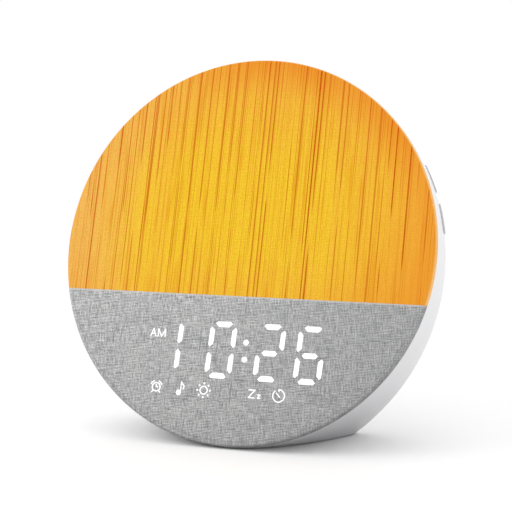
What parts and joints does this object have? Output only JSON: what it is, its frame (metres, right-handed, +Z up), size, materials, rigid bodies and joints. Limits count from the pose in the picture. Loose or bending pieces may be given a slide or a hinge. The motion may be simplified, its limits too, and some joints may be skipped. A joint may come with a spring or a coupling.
{
  "type": "sunrise alarm clock",
  "caption": "Round bedside alarm clock: a leaning cloth-covered face with a glowing upper part and lit digits below, on a white bowl-shaped shell.",
  "frame": {"origin": "on the table, straight under the middle of the face's front", "axes": "+X to the right of someone who reads the face, +Y towards the clock's back, +Z up"},
  "size_m": [0.17, 0.0823, 0.1642],
  "materials": {
    "shell_white": "satin white moulded plastic",
    "button_white": "satin white moulded plastic",
    "button_grey": "light grey moulded plastic",
    "pad_black": "matte soft foot pad",
    "frame_white": "plain moulded plastic",
    "wood_cloth": "woven cloth printed with wood grain, lit from behind",
    "grey_cloth": "grey linen-look weave",
    "opal_white": "opal light-spreading plastic",
    "reflector_white": "bright white moulded plastic",
    "guide_white": "milky light-guide resin",
    "housing_black": "black moulded plastic",
    "board_green": "green lacquered circuit board",
    "light_yellow": "light-emitting diode with yellow resin",
    "chip_black": "black moulded resin",
    "can_silver": "plain drawn can",
    "steel_screw": "zinc-plated",
    "cell_steel": "plain pressed",
    "holder_black": "black moulded plastic",
    "socket_steel": "drawn and plated",
    "tongue_black": "black moulded plastic",
    "switch_black": "black moulded plastic",
    "plunger_black": "black moulded plastic",
    "basket_steel": "black painted pressed steel",
    "magnet_grey": "plain sintered",
    "cone_black": "matte coated",
    "surround_rubber": "soft",
    "gasket_foam": "soft foam",
    "ribbon_grey": "flat insulated ribbon",
    "connector_cream": "moulded plastic",
    "lead_red": "insulated lead"
  },
  "bodies": {
    "clock": {"rear_shell": "shell_white", "base_pad": "pad_black", "front_frame": "frame_white", "upper_cloth": "wood_cloth", "lower_cloth": "grey_cloth", "light_diffuser": "opal_white", "light_reflector": "reflector_white", "light_board": "board_green", "lights": "light_yellow", "light_screws": "steel_screw", "display_segments": "guide_white", "display_icons": "guide_white", "display_housing": "housing_black", "display_board": "board_green", "display_lights": "light_yellow", "display_screws": "steel_screw", "main_board": "board_green", "board_screws": "steel_screw", "main_chips": "chip_black", "capacitors": "can_silver", "cell_holder": "holder_black", "backup_cell": "cell_steel", "rear_board": "board_green", "rear_board_screws": "steel_screw", "power_socket": "socket_steel", "socket_tongue": "tongue_black", "rear_switches": "switch_black", "side_board": "board_green", "side_board_screws": "steel_screw", "side_switches": "switch_black", "speaker_gasket": "gasket_foam", "speaker_basket": "basket_steel", "speaker_magnet": "magnet_grey", "speaker_cone": "cone_black", "speaker_surround": "surround_rubber", "speaker_terminals": "connector_cream", "speaker_screws": "steel_screw", "speaker_leads": "lead_red", "side_lead": "lead_red", "case_screws": "steel_screw", "display_connectors": "connector_cream", "display_ribbon": "ribbon_grey", "light_connectors": "connector_cream", "light_ribbon": "ribbon_grey", "rear_connectors": "connector_cream", "rear_ribbon": "ribbon_grey"},
    "set": {"set_button": "button_white", "set_plunger": "plunger_black"},
    "alarm": {"alarm_button": "button_white", "alarm_plunger": "plunger_black"},
    "minus": {"minus_button": "button_white", "minus_plunger": "plunger_black"},
    "plus": {"plus_button": "button_white", "plus_plunger": "plunger_black"},
    "side_upper": {"side_button_upper": "button_grey", "side_plunger_upper": "plunger_black"},
    "side_lower": {"side_button_lower": "button_grey", "side_plunger_lower": "plunger_black"}
  },
  "joints": [
    {"name": "set_press", "type": "slide", "parent": "clock", "child": "set", "axis": [0, -0.9603, 0.279], "range_m": [0, 0.0005], "stiffness_N_per_m": 800, "springref_m": -0.0005},
    {"name": "alarm_press", "type": "slide", "parent": "clock", "child": "alarm", "axis": [0, -0.9603, 0.279], "range_m": [0, 0.0005], "stiffness_N_per_m": 800, "springref_m": -0.0005},
    {"name": "minus_press", "type": "slide", "parent": "clock", "child": "minus", "axis": [0, -0.9603, 0.279], "range_m": [0, 0.0005], "stiffness_N_per_m": 800, "springref_m": -0.0005},
    {"name": "plus_press", "type": "slide", "parent": "clock", "child": "plus", "axis": [0, -0.9603, 0.279], "range_m": [0, 0.0005], "stiffness_N_per_m": 800, "springref_m": -0.0005},
    {"name": "side_upper_press", "type": "slide", "parent": "clock", "child": "side_upper", "axis": [-0.9418, -0.0938, -0.3229], "range_m": [0, 0.0005], "stiffness_N_per_m": 800, "springref_m": -0.0005},
    {"name": "side_lower_press", "type": "slide", "parent": "clock", "child": "side_lower", "axis": [-0.9418, -0.0938, -0.3229], "range_m": [0, 0.0005], "stiffness_N_per_m": 800, "springref_m": -0.0005}
  ]
}
